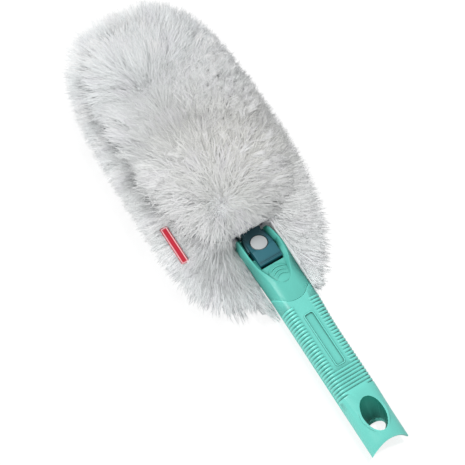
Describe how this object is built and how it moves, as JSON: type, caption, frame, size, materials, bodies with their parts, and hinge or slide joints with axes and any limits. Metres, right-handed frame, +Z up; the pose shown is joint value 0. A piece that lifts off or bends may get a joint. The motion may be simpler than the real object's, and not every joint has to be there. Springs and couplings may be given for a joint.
{
  "type": "hand duster",
  "caption": "Fluffy oval duster head over a flat paddle, clipped to a ribbed plastic grip with a hanging hole and a round release button",
  "frame": {"origin": "bottom centre of the bounding box, on the surface that the duster lies on", "axes": "X runs along the duster, with the hanging end of the grip at +X and the head at -X; Y runs across the head; Z is up, with the release button on the upper side"},
  "size_m": [0.428, 0.1466, 0.047],
  "materials": {
    "mint_plastic": "satin moulded mint green plastic",
    "petrol_plastic": "satin moulded petrol blue plastic",
    "grey_button": "fine textured light grey plastic",
    "white_plastic": "natural white plastic",
    "steel": "zinc plated steel",
    "white_pile": "long white microfibre pile",
    "backing_cloth": "white knitted backing cloth",
    "red_label": "plain red woven tag"
  },
  "bodies": {
    "head": {"adapter_base": "petrol_plastic", "adapter_block": "petrol_plastic", "button_spring": "steel", "clamp_screw_left": "steel", "clamp_screw_right": "steel", "edge_pile": "white_pile", "lower_backing": "backing_cloth", "lower_pile": "white_pile", "mouth_band": "backing_cloth", "paddle_frame": "white_plastic", "side_label": "red_label", "upper_backing": "backing_cloth", "upper_pile": "white_pile"},
    "grip": {"grip_lower_shell": "mint_plastic", "grip_screw_front": "steel", "grip_screw_rear": "steel", "grip_upper_shell": "mint_plastic", "socket_body": "mint_plastic"},
    "button": {"latch_bar": "white_plastic", "release_button": "grey_button"}
  },
  "joints": [
    {"name": "grip_pull_off", "type": "slide", "parent": "head", "child": "grip", "axis": [1, 0, 0], "range_m": [0, 0.09]},
    {"name": "button_press", "type": "slide", "parent": "head", "child": "button", "axis": [0.2924, 0, -0.9563], "range_m": [0, 0.002], "stiffness_N_per_m": 400}
  ]
}
